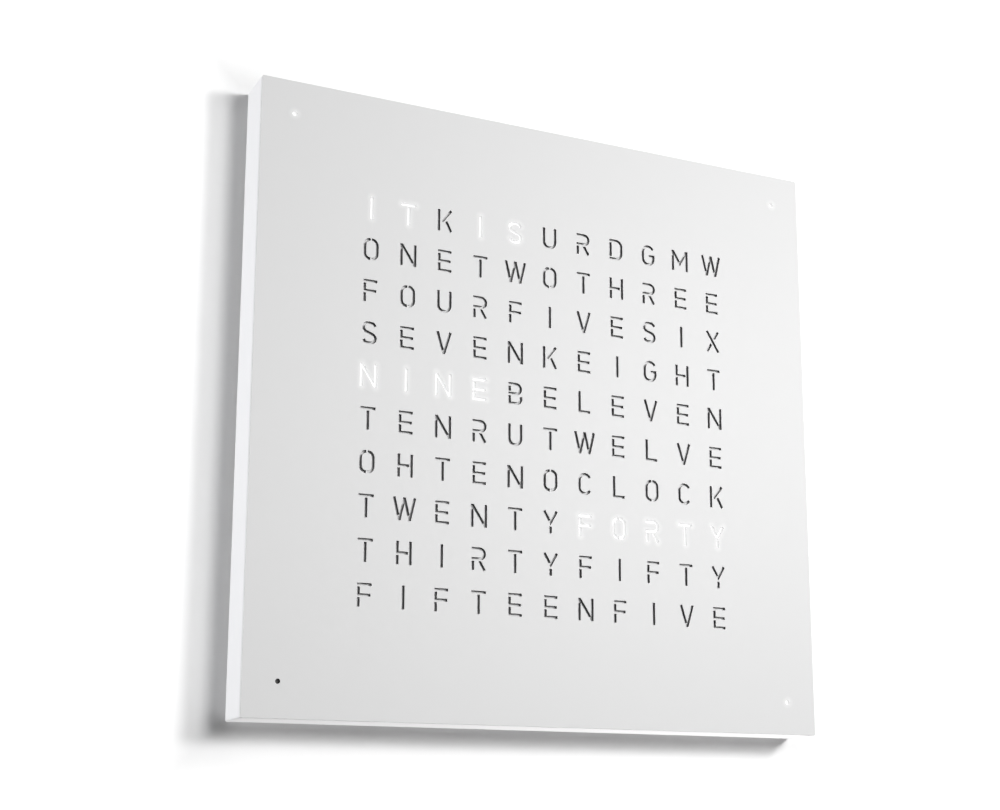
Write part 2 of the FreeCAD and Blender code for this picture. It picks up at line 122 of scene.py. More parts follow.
def letter_cuts(letter):
    """The centre lines of one letter's cuts."""
    half = LETTER_WIDTHS[letter] / 2
    side = half - STROKE / 2
    top_bar = [(-half, LINE), (half, LINE)]
    round_z = LINE - side
    slant = half - STROKE * SLOPED_HALF    # outer end of a sloping cut
    if letter == "B":
        bowl = LINE / 2
        overhang, bowl_end = 0.3, 24       # of the lower bowl
        return [[(-half, LINE)] + arc(side - bowl, bowl, bowl, 90, -90) + [(-half, 0)],
                [(-side, LINE - NEXT), (-side, NEXT)],
                [(-side, -NEXT), (-side, -LINE)] + arc(side + overhang - bowl, -bowl, bowl,
                                                    -90, bowl_end)]
    if letter == "C":
        return [arc(0, round_z, side, ARM_END, 180)
                + arc(0, -round_z, side, 180, 360 - ARM_END)]
    if letter == "D":
        bend = side * 0.95
        return [[(-half, LINE)] + arc(side - bend, LINE - bend, bend, 90, 0)
                + arc(side - bend, bend - LINE, bend, 0, -90) + [(-half, -LINE)],
                [(-side, LINE - NEXT), (-side, NEXT - LINE)]]
    if letter in "EF":
        shorter = 0.6                      # of the middle bar
        cuts = [top_bar, [(-side, LINE - NEXT), (-side, 0), (half - shorter, 0)]]
        foot = [(-side, -NEXT), (-side, -LINE), (half, -LINE)]
        return cuts + [foot if letter == "E" else [(-side, -NEXT), (-side, -TOP)]]
    if letter == "G":
        bar_start, bar_z = 0.6, -0.4
        return [arc(0, round_z, side, ARM_END, 180) + arc(0, -round_z, side, 180, 360)
                + [(side, bar_z), (bar_start, bar_z)]]
    if letter == "H":
        return [[(-side, TOP), (-side, 0), (side - NEXT, 0)],
                [(-side, -NEXT), (-side, -TOP)],
                [(side, TOP), (side, -TOP)]]
    if letter == "I":
        return [[(0, TOP), (0, -TOP)]]
    if letter == "K":
        arm_foot, leg_start = (NEXT - side + 0.8, -0.9), (0.85, -0.45)
        return [[(-side, TOP), (-side, -TOP)],
                [(slant, TOP), arm_foot],
                [leg_start, (slant, -TOP)]]
    if letter == "L":
        return [[(-side, TOP), (-side, -LINE), (half, -LINE)]]
    if letter == "M":
        dip = -2.4                         # foot of the two middle strokes
        return [[(-side, -TOP), (-side, TOP), (0, dip), (side, TOP), (side, -TOP)]]
    if letter == "N":
        return [[(-side, -TOP), (-side, TOP), (side, -TOP), (side, TOP)]]
    if letter == "O":
        gap = BRIDGE * 0.7                 # from the middle to the end of each half
        bend = side - gap
        shell = arc(gap, LINE - bend, bend, 90, 0) + arc(gap, bend - LINE, bend, 0, -90)
        return [shell, [(-x, z) for x, z in shell]]
    if letter == "R":
        bowl = LINE / 2
        leg_start = 0.7
        return [[(-half, LINE)] + arc(side - bowl, bowl, bowl, 90, -90) + [(-half, 0)],
                [(-side, -NEXT), (-side, -TOP)],
                [(leg_start, -NEXT), (slant, -TOP)]]
    if letter == "S":
        tilt, tip = 20, 18                 # degrees: of the middle stroke, and at the ends
        slope = math.radians(tilt)
        bowl = (LINE - side * math.tan(slope)) / (1 + 1 / math.cos(slope) - math.tan(slope))
        bend = side - bowl
        half_s = (arc(bend, LINE - bowl, bowl, tip, 90)
                  + arc(-bend, LINE - bowl, bowl, 90, 270 - tilt))
        return [half_s + turned_over(half_s)[::-1]]
    if letter == "T":
        return [top_bar, [(0, LINE - NEXT), (0, -TOP)]]
    if letter == "U":
        return [[(-side, TOP)] + arc(0, -round_z, side, 180, 360) + [(side, TOP)]]
    if letter == "V":
        return [[(-slant, TOP), (0, -TOP), (slant, TOP)]]
    if letter == "W":
        return [[(-slant, TOP), (-slant / 2, -TOP), (0, TOP), (slant / 2, -TOP), (slant, TOP)]]
    if letter == "X":
        clear = 2.5                        # from the crossing to the two short arms
        reach = clear / math.hypot(slant, TOP)
        arm = [(slant, TOP), (slant * reach, TOP * reach)]
        return [[(-slant, TOP), (slant, -TOP)], arm, turned_over(arm)]
    if letter == "Y":
        fork, mitre = -0.4, 1.1            # height of the fork, and how far its mitre reaches
        return [[(-slant, TOP), (0, fork), (slant, TOP)],
                [(0, fork - NEXT - mitre), (0, -TOP)]]


def cut_outline(line, grow):
    """The closed outline of a cut along a centre line, made larger all round by grow.

    Joints are mitred. A sloping cut that ends on one of the LEVELS is cut off level there,
    and so is a mitre that would stand out past the top or the foot of the letter."""
    reach = STROKE / 2 + grow
    limit = TOP + grow
    level_way = 0.1           # a run that rises less than this counts as level
    slack = 0.05              # a mitre may stand out this far before it is cut off
    points = [Vector(p) for p in line]
    ways = [(b - a).normalized() for a, b in zip(points, points[1:])]
    sides = [Vector((-way.y, way.x)) for way in ways]

    def level(start, way, height):
        return start + way * ((height - start.y) / way.y)

    def end(point, way, side, outward):
        if point.y in LEVELS and abs(way.y) > level_way:
            return level(point + side, way, point.y + math.copysign(grow, way.y * outward))
        return point + side + way * outward * grow

    edges = []
    for hand in (1, -1):
        edge = [end(points[0], ways[0], sides[0] * reach * hand, -1)]
        for i in range(1, len(points) - 1):
            before, after = sides[i - 1] * reach * hand, sides[i] * reach * hand
            corner = points[i] + (before + after) / (1 + sides[i - 1].dot(sides[i]))
            if abs(corner.y) > limit + slack:
                height = math.copysign(limit, corner.y)
                edge += [level(points[i] + before, ways[i - 1], height),
                         level(points[i] + after, ways[i], height)]
            else:
                edge.append(corner)
        edge.append(end(points[-1], ways[-1], sides[-1] * reach * hand, 1))
        edges.append(edge)
    return edges[0] + edges[1][::-1]


def distance_to(place, line):
    """The distance from a place to a line of straight runs."""
    gaps = []
    for start, end in zip(line, line[1:]):
        run = end - start
        along = min(1.0, max(0.0, (place - start).dot(run) / run.length_squared))
        gaps.append((place - start - run * along).length)
    return min(gaps)


def cell_middle(column, row):
    """The middle of a letter's cell, in millimetres on the face."""
    columns, rows = len(LETTER_ROWS[0]), len(LETTER_ROWS)
    return ((column - (columns - 1) / 2) * COLUMN_PITCH, ((rows - 1) / 2 - row) * ROW_PITCH)


# ---- Mesh helpers ----
FRONTWARD = Vector((0, -1, 0))
REARWARD = Vector((0, 1, 0))
NEAR = 0.01 * MM              # lengths that differ by less count as equal
TOUCHING = 0.0001 * MM        # corners that are closer than this are one
SAME_WAY = 0.99               # cosine above which two directions count as one


def places_across(count, pitch):
    """Even places with a given pitch, centred on zero, in millimetres."""
    return [(i - (count - 1) / 2) * pitch for i in range(count)]


def node_shape(name):
    """A CAD node's shape with its corners merged and its flat faces whole."""
    bm = bmesh.new()
    bm.from_mesh(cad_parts[name].data)
    bmesh.ops.remove_doubles(bm, verts=bm.verts[:], dist=TOUCHING)
    bmesh.ops.dissolve_limit(bm, angle_limit=math.radians(1), verts=bm.verts[:],
                             edges=bm.edges[:])
    return bm


def verts_in(geom):
    """The corners in what a mesh operator gives back."""
    return [item for item in geom if isinstance(item, bmesh.types.BMVert)]


def drawn_out(bm, rim, place):
    """Extrudes edges, puts each new corner in its place, and gives the new edges back."""
    made = bmesh.ops.extrude_edge_only(bm, edges=rim)["geom"]
    corners = set(verts_in(made))
    for corner in corners:
        corner.co = place(corner)
    return [item for item in made if isinstance(item, bmesh.types.BMEdge)
            and all(vert in corners for vert in item.verts)]


def fill(bm, edges, facing):
    """Covers what closed lines of edges enclose with flat triangles."""
    bmesh.ops.triangle_fill(bm, use_beauty=True, edges=edges, normal=facing)


def edges_of(faces):
    """All edges of some faces, each once."""
    return list({edge for face in faces for edge in face.edges})


def round_off(bm, geom, radius, steps=2, affect="EDGES"):
    """Rounds the given edges or corners, with a radius in millimetres."""
    bmesh.ops.bevel(bm, geom=geom, offset=radius * MM, offset_type="OFFSET", affect=affect,
                    segments=steps, profile=0.5, material=-1)


def sharp_edges(bm):
    """Edges that turn by more than 40 degrees."""
    return [edge for edge in bm.edges if len(edge.link_faces) == 2
            and edge.calc_face_angle() > math.radians(40)]


def lies_at(edge, depth):
    """True for an edge that lies at one depth, in metres."""
    return all(abs(vert.co.y - depth) < NEAR for vert in edge.verts)


def runs_back(edge):
    """True for an edge that runs from front to rear."""
    return abs((edge.verts[1].co - edge.verts[0].co).normalized().y) > SAME_WAY


def soften(bm, radius, steps=2):
    """Rounds every sharp edge."""
    round_off(bm, sharp_edges(bm), radius, steps)


def round_corners(bm, radius):
    """Rounds the four outermost edges that run from front to rear."""
    low = Vector([min(vert.co[i] for vert in bm.verts) for i in range(3)])
    high = Vector([max(vert.co[i] for vert in bm.verts) for i in range(3)])

    def outermost(place):
        return (min(abs(place.x - low.x), abs(place.x - high.x)) < NEAR
                and min(abs(place.z - low.z), abs(place.z - high.z)) < NEAR)

    round_off(bm, [edge for edge in bm.edges
                   if runs_back(edge) and outermost(edge.verts[0].co)], radius, steps=4)


def block(bm, x, z, width, height, low_y, high_y, finish=0):
    """A block around the line through (x, z), all in millimetres, and its faces."""
    middle = Vector((x, (low_y + high_y) / 2, z)) * MM
    size = Matrix.Diagonal((width, high_y - low_y, height, 1))
    made = bmesh.ops.create_cube(bm, size=MM, matrix=Matrix.Translation(middle) @ size)
    faces = {face for vert in made["verts"] for face in vert.link_faces}
    for face in faces:
        face.material_index = finish
    return faces


def sink(bm, faces, facing, margin, depth, finish=None):
    """Sinks the middle of those faces that look a given way, and gives them back."""
    chosen = [face for face in faces if face.is_valid and face.normal.dot(facing) > SAME_WAY]
    bmesh.ops.inset_individual(bm, faces=chosen, thickness=margin * MM, depth=-depth * MM)
    for face in chosen:
        if finish is not None:
            face.material_index = finish
    return chosen


def turn(bm, profile, sides=32, finish=0):
    """A turned shape around the Y axis, from a list of (radius, y) in millimetres."""
    before = set(bm.faces)
    line = [bm.verts.new((radius * MM, y * MM, 0)) for radius, y in profile]
    edges = [bm.edges.new(pair) for pair in zip(line, line[1:])]
    bmesh.ops.spin(bm, geom=line + edges, cent=(0, 0, 0), axis=(0, 1, 0), angle=math.tau,
                   steps=sides, use_merge=True)
    bmesh.ops.remove_doubles(bm, verts=bm.verts[:], dist=TOUCHING)
    faces = [face for face in bm.faces if face not in before]
    bmesh.ops.recalc_face_normals(bm, faces=faces)
    for face in faces:
        face.material_index = finish


def repeat(bm, places):
    """Copies the shape from the middle of the clock to each place, and removes the first."""
    first = bm.verts[:] + bm.edges[:] + bm.faces[:]
    for x, z in places:
        made = bmesh.ops.duplicate(bm, geom=first)["geom"]
        bmesh.ops.translate(bm, verts=verts_in(made), vec=(x * MM, 0, z * MM))
    bmesh.ops.delete(bm, geom=verts_in(first), context="VERTS")


def smoothed(thing):
    """Shades a turned piece smoothly, except across edges that turn by over 32 degrees."""
    thing.data.polygons.foreach_set("use_smooth", [True] * len(thing.data.polygons))
    thing.data.set_sharp_from_angle(angle=math.radians(32))


def placed(name, data):
    """A new object in the scene."""
    thing = bpy.data.objects.new(name, data)
    bpy.context.scene.collection.objects.link(thing)
    return thing


def meshed(name, bm, finishes):
    """A new object made of a shape and its finishes."""
    mesh = bpy.data.meshes.new(name)
    bm.to_mesh(mesh)
    bm.free()
    for finish in finishes:
        mesh.materials.append(finish)
    return placed(name, mesh)


def piece(name, bm, finishes, slot, node, body="housing"):
    """A finished piece: its mesh, finishes, body and the CAD node that it stands for; the slot is
    not used.
    """
    thing = meshed(name, bm, finishes)
    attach(thing, body)
    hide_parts(node)
    return thing


def softened(node, radius, name, finish, slot, body="housing", steps=2):
    """A piece that is its CAD node with the sharp edges rounded."""
    bm = node_shape(node)
    soften(bm, radius, steps)
    piece(name, bm, [finish], slot, node, body)


# ---- Materials ----
def operator(operation):
    """A method that works out a signal from its own and another one or a number."""
    return lambda self, other: self.maths(operation, self, other)


class Signal:
    """A value or colour in a material, with arithmetic."""

    def __init__(self, finish, socket):
        self.finish = finish
        self.socket = socket

    def maths(self, operation, first, second):
        settings = {"operation": operation}
        return self.finish.node("ShaderNodeMath", settings, [first, second])["Value"]

    __add__ = __radd__ = operator("ADD")
    __mul__ = __rmul__ = operator("MULTIPLY")
    __sub__ = operator("SUBTRACT")
    __lt__ = operator("LESS_THAN")
    __gt__ = operator("GREATER_THAN")
    either = operator("MAXIMUM")          # the larger of two values

    def __rsub__(self, other):
        return self.maths("SUBTRACT", other, self)

    def size(self):
        """The value without its sign."""
        return self.maths("ABSOLUTE", self, 0.0)

    def part(self):
        """What follows the decimal point."""
        return self.maths("FRACT", self, 0.0)


class Node:
    """A node whose outputs are read by name as signals."""

    def __init__(self, finish, node):
        self.finish = finish
        self.node = node

    def __getitem__(self, name):
        return Signal(self.finish, self.node.outputs[name])


class Finish:
    """One material: a Principled shader with its constants, and the nodes that feed it."""

    def __init__(self, name, color, roughness, **constants):
        self.material = bpy.data.materials.new(name)
        self.material.use_nodes = True
        self.tree = self.material.node_tree
        self.shader = self.tree.nodes["Principled BSDF"]
        self.set(Base_Color=(*color, 1.0), Roughness=roughness, **constants)
        place = self.node("ShaderNodeTexCoord")["Object"]
        self.place = place
        parts = self.node("ShaderNodeSeparateXYZ", {}, [place])
        self.x, self.y, self.z = parts["X"], parts["Y"], parts["Z"]

    def set(self, **values):
        """Sets or links the shader's sockets; an underscore stands for a space."""
        for name, value in values.items():
            self.join(value, self.shader.inputs[name.replace("_", " ")])

    def join(self, value, socket):
        """Links a signal to an input, or sets the input to a constant."""
        if isinstance(value, Signal):
            self.tree.links.new(value.socket, socket)
        else:
            socket.default_value = value

    def node(self, kind, settings=None, values=()):
        """A node with its settings, then the values or links of its inputs by place or name."""
        made = self.tree.nodes.new(kind)
        for name, value in (settings or {}).items():
            setattr(made, name, value)
        pairs = values.items() if isinstance(values, dict) else enumerate(values)
        for key, value in pairs:
            self.join(value, made.inputs[key])
        return Node(self, made)

    def noise(self, grain, detail=2.0):
        """Even noise with features of about the given size, in millimetres."""
        return self.node("ShaderNodeTexNoise", {}, {
            "Vector": self.place, "Scale": 1 / (grain * MM), "Detail": detail})["Fac"]

    def mix(self, factor, first, second):
        """One colour changing into another."""
        made = self.node("ShaderNodeMix", {"data_type": "RGBA"}, {0: factor})
        for socket, color in ((made.node.inputs[6], first), (made.node.inputs[7], second)):
            self.join(color if isinstance(color, Signal) else (*color, 1.0), socket)
        return Signal(self, made.node.outputs[2])

    def bump(self, height, depth, strength=1.0):
        """Raises the surface by a height from 0 to 1, over a depth in millimetres."""
        made = self.node("ShaderNodeBump", {}, {
            "Strength": strength, "Distance": depth * MM, "Height": height})
        self.set(Normal=made["Normal"])


def coated(name, color, roughness, grain, depth, **constants):
    """A matt coat or moulding with a fine even texture."""
    finish = Finish(name, color, roughness, **constants)
    finish.bump(finish.noise(grain), depth)
    cloud = finish.noise(grain * 40)
    finish.set(Roughness=roughness - 0.05 + 0.1 * finish.noise(grain * 9),
               Base_Color=finish.mix(cloud, [part * 0.985 for part in color], color))
    return finish


def metal(name, color, roughness, grain, depth=0.004):
    """Plated or bare metal with a faint grain and small changes of tone."""
    finish = Finish(name, color, roughness, Metallic=1.0)
    blotch = finish.noise(grain, 3.0)
    finish.bump(finish.noise(grain / 6), depth)
    finish.set(Roughness=roughness - 0.08 + 0.16 * blotch,
               Base_Color=finish.mix(blotch, [part * 0.86 for part in color], color))
    return finish


DOT_CELL = 8.0                # half the width of what counts as a minute dot's cell
DOT_SHADE_HALF = 4.0             # half the width of the patch of painted shade behind a dark minute dot
BLACK, WHITE = (0.0, 0.0, 0.0), (1.0, 1.0, 1.0)


def lit_area(finish):
    """1 over the cells of the lit words and dots, and 0 elsewhere."""
    area = None
    boxes = []
    for row, words in LIT_WORDS.items():
        for first, last in words:
            left, z = cell_middle(first, row)
            right, _ = cell_middle(last, row)
            boxes.append(((left + right) / 2, z, (right - left + COLUMN_PITCH) / 2, ROW_PITCH / 2))
    boxes += [(x * DOT_PLACE, z * DOT_PLACE, DOT_CELL, DOT_CELL) for x, z in LIT_DOTS]
    for x, z, half_width, half_height in boxes:
        inside = ((finish.x - x * MM).size() < half_width * MM) * (
            (finish.z - z * MM).size() < half_height * MM)
        area = inside if area is None else area.either(inside)
    return area


def coat_with_painted_glow():
    """White powder coat of the face, with a faint painted glow around the lit cuts."""
    finish = coated("face_coat", (0.72, 0.72, 0.72), 0.5, 0.45, 0.006, Emission_Strength=0.075)
    near = finish.node("ShaderNodeAttribute", {"attribute_name": "glow"})["Fac"]
    finish.set(Emission_Color=finish.mix(near, BLACK, WHITE))
    return finish.material


def opal():
    """Opal sheet: pale grey with a faint painted glow where it is dark behind, glowing over the
    lit cells, and given a near-black patch of painted shade behind the minute dots that are dark."""
    # The third colour is a faint painted glow over the unlit sheet; the second is the dark of
    # painted shade behind unlit minute dots.
    pale, dot_shade, faint_painted_glow = (0.64, 0.64, 0.64), (0.04, 0.04, 0.04), (0.02, 0.02, 0.02)
    finish = coated("opal_sheet", pale, 0.6, 0.4, 0.004, Emission_Strength=0.6)
    glow = lit_area(finish)
    # A patch of painted shade behind each minute dot that isn't lit.
    dot_shade_mask = ((finish.x.size() - DOT_PLACE * MM).size() < DOT_SHADE_HALF * MM) * (
        (finish.z.size() - DOT_PLACE * MM).size() < DOT_SHADE_HALF * MM) * (1 - glow)
    finish.set(Base_Color=finish.mix(dot_shade_mask, pale, dot_shade),
               Emission_Color=finish.mix(glow, faint_painted_glow, WHITE))
    return finish.material


def stripes(value, pitch, width):
    """1 inside even stripes across a value, with their pitch and width in millimetres."""
    return ((value * (1 / (pitch * MM))).part() - 0.5).size() < width / pitch / 2


def circuit(name, mask, track, pitch_x, pitch_z):
    """Circuit board: tracks that show as ridges under the solder mask, and tinned rings round
    holes whose dark middles are painted shade.
    """
    finish = Finish(name, mask, 0.32, Specular_IOR_Level=0.5)
    track_width, hole_pitch = 0.5, 6.5
    solder, bore_shade = (0.62, 0.6, 0.56), (0.04, 0.04, 0.04)
    run_x = stripes(finish.z + 2.1 * MM, pitch_z / 4, track_width) * (finish.noise(19.0) < 0.53)
    run_z = stripes(finish.x + 3.3 * MM, pitch_x / 5, track_width) * (finish.noise(23.0) > 0.49)
    tracks = run_x.either(run_z)
    holes = finish.node("ShaderNodeTexVoronoi", {"voronoi_dimensions": "3D"}, {
        "Vector": finish.place, "Scale": 1 / (hole_pitch * MM), "Randomness": 0.8})["Distance"]
    ring = holes < 0.075
    # bore: the dark middle of a ring, painted shade standing in for the hole.
    bore = holes < 0.035
    tone = finish.mix(tracks, mask, track)
    tone = finish.mix(ring, tone, solder)
    finish.set(Base_Color=finish.mix(bore, tone, bore_shade),
               Metallic=ring, Roughness=0.3 + 0.12 * finish.noise(3.0))
    finish.bump(tracks.either(ring), 0.05, 0.6)
    return finish.material


def phosphor():
    """Yellow casting in an LED, which glows behind the lit letters."""
    finish = Finish("led_phosphor", (0.85, 0.62, 0.12), 0.35, Emission_Strength=3.0)
    glow = lit_area(finish)
    fine = finish.noise(0.3)
    finish.bump(fine, 0.02)
    finish.set(Base_Color=finish.mix(fine, (0.8, 0.56, 0.1), (0.88, 0.66, 0.16)),
               Emission_Color=finish.mix(glow, BLACK, (1.0, 1.0, 0.97)))
    return finish.material


def socket_black():
    """Black moulding of the supply socket, with its plated pin on the socket's axis."""
    black, plated, pin_radius = (0.022, 0.022, 0.024), (0.72, 0.7, 0.66), 1.25
    finish = coated("socket_black", black, 0.42, 0.5, 0.012)
    low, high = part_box("dc_jack")
    off_x, off_y = finish.x - (low.x + high.x) / 2, finish.y - (low.y + high.y) / 2
    pin = (off_x * off_x + off_y * off_y) < (pin_radius * MM) ** 2
    finish.set(Base_Color=finish.mix(pin, black, plated), Metallic=pin)
    return finish.material


face_coat = coat_with_painted_glow()
# The rounded rims of the dark cuts are a lighter tone than the face coat: a painted highlight.
cut_edge_painted_highlight = coated("cut_edge_painted_highlight", (0.85, 0.85, 0.85), 0.4, 0.45, 0.004).material
# The walls of the dark cuts are a dark tone as painted shade; the walls of the lit cuts are the
# same cut steel in a paler tone.
cut_wall_painted_shade = coated("cut_wall_painted_shade", (0.16, 0.16, 0.165), 0.45, 0.3, 0.01).material
# The walls and rims of the lit cuts glow: partly the light of the opal sheet falling on them,
# partly a painted glow from their own emission.
lit_wall_painted_glow = coated("lit_cut", (0.5, 0.5, 0.5), 0.5, 0.3, 0.01, Emission_Strength=0.4,
                  Emission_Color=(*WHITE, 1.0)).material
opal_sheet = opal()
housing_coat = coated("housing_white", (0.88, 0.88, 0.89), 0.5, 0.6, 0.006).material
panel_coat = coated("panel_white", (0.82, 0.82, 0.82), 0.55, 0.8, 0.03).material
grid_plastic = coated("grid_white", (0.86, 0.86, 0.85), 0.5, 0.5, 0.01).material
zinc = metal("zinc_plate", (0.66, 0.67, 0.69), 0.34, 6.0).material
screw_zinc = metal("screw_zinc", (0.7, 0.7, 0.69), 0.3, 1.2).material
magnet_nickel = metal("magnet_nickel", (0.74, 0.73, 0.69), 0.2, 1.5, 0.002).material
cell_steel = metal("cell_steel", (0.68, 0.68, 0.67), 0.26, 0.8, 0.002).material
aluminium = metal("can_aluminium", (0.78, 0.78, 0.79), 0.28, 1.0, 0.002).material
tin = metal("tin", (0.76, 0.75, 0.73), 0.3, 0.4).material
gold = metal("pin_gold", (0.83, 0.62, 0.28), 0.25, 0.5).material
bumper_rubber = coated("bumper_rubber", (0.09, 0.09, 0.092), 0.75, 0.35, 0.03).material
white_board = circuit("board_white", (0.8, 0.8, 0.78), (0.72, 0.72, 0.69), 28.3, 31.0)
green_board = circuit("board_green", (0.012, 0.11, 0.045), (0.03, 0.19, 0.08), 12.7, 10.2)
led_case = coated("led_case", (0.85, 0.85, 0.83), 0.4, 0.4, 0.01).material
led_glow = phosphor()
epoxy = coated("chip_epoxy", (0.025, 0.025, 0.027), 0.5, 0.12, 0.012).material
sensor_glass = coated("sensor_window", (0.03, 0.01, 0.012), 0.12, 0.5, 0.002,
                      Coat_Weight=0.6).material
black_plastic = coated("black_plastic", (0.02, 0.02, 0.022), 0.45, 0.5, 0.012).material
jack_plastic = socket_black()
button_plastic = coated("button_grey", (0.3, 0.3, 0.31), 0.45, 0.5, 0.02).material


# ---- Pieces ----
def spread_painted_glow(bm, glow, panes, windows):
    """Makes the mesh finer around each lit letter and dot, and writes the painted glow on it."""
    for pane, (_, _, lines, middle, half_width, half_height) in zip(panes, windows):
        geom = pane + edges_of(pane) + list({vert for face in pane for vert in face.verts})
        for along, half in (((1, 0, 0), half_width), ((0, 0, 1), half_height)):
            for shift in places_across(int(2 * half / GLOW_GRAIN), GLOW_GRAIN):
                place = Vector((middle[0] + shift * along[0], 0, middle[1] + shift * along[2]))
                geom = bmesh.ops.bisect_plane(bm, geom=geom, dist=TOUCHING, plane_co=place * MM,
                                              plane_no=along)["geom"]
        for vert in set(verts_in(geom)):
            place = Vector((vert.co.x, vert.co.z)) / MM
            gap = min(distance_to(place, line) for line in lines) - STROKE / 2 - CUT_ROUNDING
            vert[glow] = min(1.0, max(0.0, 1 - gap / GLOW_REACH)) ** GLOW_FADE


def face_plate():
    """Steel face with rounded edges, cut-through letters and drilled minute dots."""
    bm = bmesh.new()
    front = bm.verts.layers.float_vector.new("front")
    seat = bm.verts.layers.float_vector.new("seat")
    kind = bm.verts.layers.int.new("kind")
    outside, dark, lit, edge = 0, 1, 2, 3
    windows = []                 # a frame around each lit letter or dot, its cuts and their lines

    def outline(shown, below, rounding, what):
        """A closed line on the face, with the line below it where the rounding ends."""
        made = []
        for (x, z), (seat_x, seat_z) in zip(shown, below):
            vert = bm.verts.new((x * MM, FACE_Y, z * MM))
            vert[front] = vert.co
            vert[seat] = Vector((seat_x, FACE_Y / MM + rounding, seat_z)) * MM
            vert[kind] = what
            made.append(vert)
        return [bm.edges.new(pair) for pair in zip(made, made[1:] + made[:1])]

    def rounded_square(inset):
        """The outline of the face, drawn in by an inset."""
        middle = FACE_HALF - CORNER_RADIUS
        line = []
        for quarter in range(4):
            quarter_turns = Matrix.Rotation(math.radians(90 * quarter), 2)
            line += [tuple(quarter_turns @ Vector(place))
                     for place in arc(middle, middle, CORNER_RADIUS - inset, 0, 90)]
        return line

    def lit_window(middle, half_width, half_height, cuts, lines):
        """The frame of the painted glow around a lit letter or dot."""
        corners = [(middle[0] + x * half_width, middle[1] + z * half_height)
                   for x, z in ((-1, -1), (1, -1), (1, 1), (-1, 1))]
        frame_edges = outline(corners, corners, 0, outside)
        windows.append((frame_edges, cuts, lines, middle, half_width, half_height))
        return frame_edges

    plain = outline(rounded_square(FACE_ROUNDING), rounded_square(0), FACE_ROUNDING, outside)
    for row, letters in enumerate(LETTER_ROWS):
        for column, letter in enumerate(letters):
            middle = cell_middle(column, row)
            glows = any(first <= column <= last for first, last in LIT_WORDS.get(row, []))
            cuts, lines = [], []
            for line in letter_cuts(letter):
                rims = [[(x + middle[0], z + middle[1]) for x, z in cut_outline(line, grow)]
                        for grow in (CUT_ROUNDING, 0)]
                cuts += outline(*rims, CUT_ROUNDING, lit if glows else dark)
                lines.append([Vector((x + middle[0], z + middle[1])) for x, z in line])
            plain += cuts if not glows else lit_window(
                middle, LETTER_WIDTHS[letter] / 2 + GLOW_FRAME, TOP + GLOW_FRAME, cuts, lines)
    for side_x, side_z in CORNERS:
        middle = (side_x * DOT_PLACE, side_z * DOT_PLACE)
        rings = [[(middle[0] + radius * math.cos(math.tau * i / DOT_SIDES),
                   middle[1] + radius * math.sin(math.tau * i / DOT_SIDES))
                  for i in range(DOT_SIDES)]
                 for radius in (DOT_RADIUS + CUT_ROUNDING, DOT_RADIUS)]
        glows = (side_x, side_z) in LIT_DOTS
        cuts = outline(*rings, CUT_ROUNDING, lit if glows else dark)
        reach = DOT_RADIUS + GLOW_FRAME
        drawn_in = (DOT_RADIUS - STROKE / 2) / DOT_RADIUS
        lines = [[Vector(place).lerp(Vector(middle), drawn_in)
                  for place in rings[1] + rings[1][:1]]]
        plain += cuts if not glows else lit_window(middle, reach, reach, cuts, lines)

    fill(bm, plain, FRONTWARD)
    panes = []
    for frame_edges, cuts, *_ in windows:
        before = set(bm.faces)
        fill(bm, frame_edges + cuts, FRONTWARD)
        panes.append([face for face in bm.faces if face not in before])
    flat = set(bm.faces)
    rim = [side for side in bm.edges if len(side.link_faces) == 1]

    for step in range(1, ROUNDING_STEPS + 1):
        angle = math.pi / 2 * step / ROUNDING_STEPS
        out, down = math.sin(angle), 1 - math.cos(angle)

        def rounded(vert):
            shift = vert[seat] - vert[front]
            return vert[front] + Vector((shift.x * out, shift.y * down, shift.z * out))

        rim = drawn_out(bm, rim, rounded)
    shown = set(bm.faces)
    # Rims: the face's outer rim keeps the coat, the rims of dark cuts take the lighter tone of the
    # painted highlight, and the rims of lit cuts the painted glow of the lit walls.
    for face in shown - flat:
        face.material_index = (outside, edge, lit)[min(vert[kind] for vert in face.verts)]
    rim = drawn_out(bm, rim, lambda vert: Vector((vert[seat].x, REAR_Y, vert[seat].z)))
    # Walls: the dark cuts' walls in the tone of painted shade, the lit cuts' walls with painted
    # glow, the outer sides in the coat.
    for wall in bm.faces:
        if wall not in shown:
            wall.material_index = min(vert[kind] for vert in wall.verts)
    fill(bm, rim, REARWARD)

    # The glow layer is painted light: full on the lit cuts, fading over the face around them.
    glow = bm.verts.layers.float.new("glow")
    for vert in bm.verts:
        vert[glow] = float(vert[kind] == lit)
    spread_painted_glow(bm, glow, panes, windows)
    bmesh.ops.recalc_face_normals(bm, faces=bm.faces[:])
    piece("face_plate", bm, [face_coat, cut_wall_painted_shade, lit_wall_painted_glow, cut_edge_painted_highlight], "face_plate_coat",
          "front_plate", body="front_cover")


def dress(name, finish):
    """Gives a CAD node its finish."""
    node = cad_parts[name]
    node.data.materials.clear()
    node.data.materials.append(finish)


def housing():
    """Moulded frame with crisp, slightly rounded edges, and a close seam along the face."""
    bm = node_shape("housing")
    half = max(vert.co.x for vert in bm.verts) - NEAR

    def on_seam(edge):
        return lies_at(edge, REAR_Y) and all(
            max(abs(vert.co.x), abs(vert.co.z)) > half for vert in edge.verts)

    round_off(bm, [edge for edge in sharp_edges(bm) if not on_seam(edge)], 0.25)
    piece("housing_shell", bm, [housing_coat], "housing_white", "housing")


def back_panel():
    """Moulded rear cover with its pillars, ribs, rails, clips and pocket."""
    softened("back_panel", 0.15, "rear_cover", panel_coat, "panel_white")


